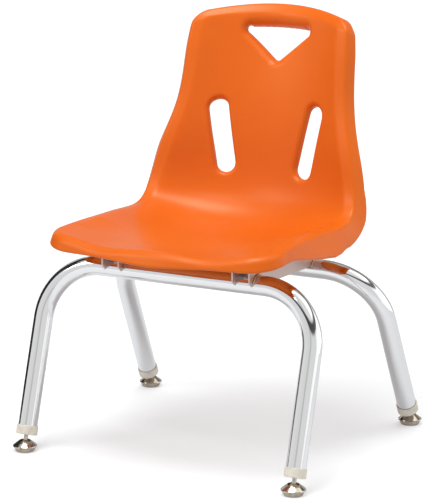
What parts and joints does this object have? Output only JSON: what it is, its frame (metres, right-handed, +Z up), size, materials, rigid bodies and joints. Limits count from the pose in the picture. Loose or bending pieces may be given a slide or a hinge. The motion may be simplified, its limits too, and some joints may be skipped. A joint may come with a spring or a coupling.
{
  "type": "stacking chair",
  "caption": "Low moulded-shell stacking chair on two plated inverted-U tube legs, with a hand hold, slotted back and swivel glides.",
  "frame": {"origin": "on the floor, midway between the legs and centred under the whole chair", "axes": "+Z up, the front of the chair faces -Y, +X is the chair's own left side"},
  "size_m": [0.3759, 0.3376, 0.4846],
  "materials": {
    "moulded_shell": "satin moulded polypropylene, orange",
    "plated_tube": "bright chrome plate on bent steel tube",
    "plated_channel": "chrome plate on pressed steel",
    "weld": "plated weld bead",
    "screw": "zinc plated",
    "leg_cap": "ivory nylon",
    "glide_steel": "turned steel",
    "ball_seat": "natural nylon",
    "glide_base": "hardened steel, worn",
    "glide_shell": "bright nickel plate"
  },
  "bodies": {
    "chair": {"seat_shell": "moulded_shell", "front_leg_tube": "plated_tube", "rear_leg_tube": "plated_tube", "left_seat_channel": "plated_channel", "right_seat_channel": "plated_channel", "channel_welds": "weld", "seat_screws": "screw", "front_left_leg_cap": "leg_cap", "front_left_glide_stem": "glide_steel", "front_right_leg_cap": "leg_cap", "front_right_glide_stem": "glide_steel", "rear_left_leg_cap": "leg_cap", "rear_left_glide_stem": "glide_steel", "rear_right_leg_cap": "leg_cap", "rear_right_glide_stem": "glide_steel"},
    "front_left_swivel": {"front_left_ball_seat": "ball_seat"},
    "front_left_glide": {"front_left_glide_base": "glide_base", "front_left_glide_shell": "glide_shell"},
    "front_right_swivel": {"front_right_ball_seat": "ball_seat"},
    "front_right_glide": {"front_right_glide_base": "glide_base", "front_right_glide_shell": "glide_shell"},
    "rear_left_swivel": {"rear_left_ball_seat": "ball_seat"},
    "rear_left_glide": {"rear_left_glide_base": "glide_base", "rear_left_glide_shell": "glide_shell"},
    "rear_right_swivel": {"rear_right_ball_seat": "ball_seat"},
    "rear_right_glide": {"rear_right_glide_base": "glide_base", "rear_right_glide_shell": "glide_shell"}
  },
  "joints": [
    {"name": "front_left_glide_swivel", "type": "hinge", "parent": "chair", "child": "front_left_swivel", "pos_m": [0.1686, -0.1501, 0.0076], "axis": [0, 0, 1], "continuous": true},
    {"name": "front_left_glide_tilt", "type": "hinge", "parent": "front_left_swivel", "child": "front_left_glide", "pos_m": [0.1686, -0.1501, 0.0076], "axis": [1, 0, 0], "range_deg": [-10, 10]},
    {"name": "front_right_glide_swivel", "type": "hinge", "parent": "chair", "child": "front_right_swivel", "pos_m": [-0.1686, -0.1501, 0.0076], "axis": [0, 0, 1], "continuous": true},
    {"name": "front_right_glide_tilt", "type": "hinge", "parent": "front_right_swivel", "child": "front_right_glide", "pos_m": [-0.1686, -0.1501, 0.0076], "axis": [1, 0, 0], "range_deg": [-10, 10]},
    {"name": "rear_left_glide_swivel", "type": "hinge", "parent": "chair", "child": "rear_left_swivel", "pos_m": [0.1741, 0.1501, 0.0076], "axis": [0, 0, 1], "continuous": true},
    {"name": "rear_left_glide_tilt", "type": "hinge", "parent": "rear_left_swivel", "child": "rear_left_glide", "pos_m": [0.1741, 0.1501, 0.0076], "axis": [1, 0, 0], "range_deg": [-10, 10]},
    {"name": "rear_right_glide_swivel", "type": "hinge", "parent": "chair", "child": "rear_right_swivel", "pos_m": [-0.1741, 0.1501, 0.0076], "axis": [0, 0, 1], "continuous": true},
    {"name": "rear_right_glide_tilt", "type": "hinge", "parent": "rear_right_swivel", "child": "rear_right_glide", "pos_m": [-0.1741, 0.1501, 0.0076], "axis": [1, 0, 0], "range_deg": [-10, 10]}
  ]
}
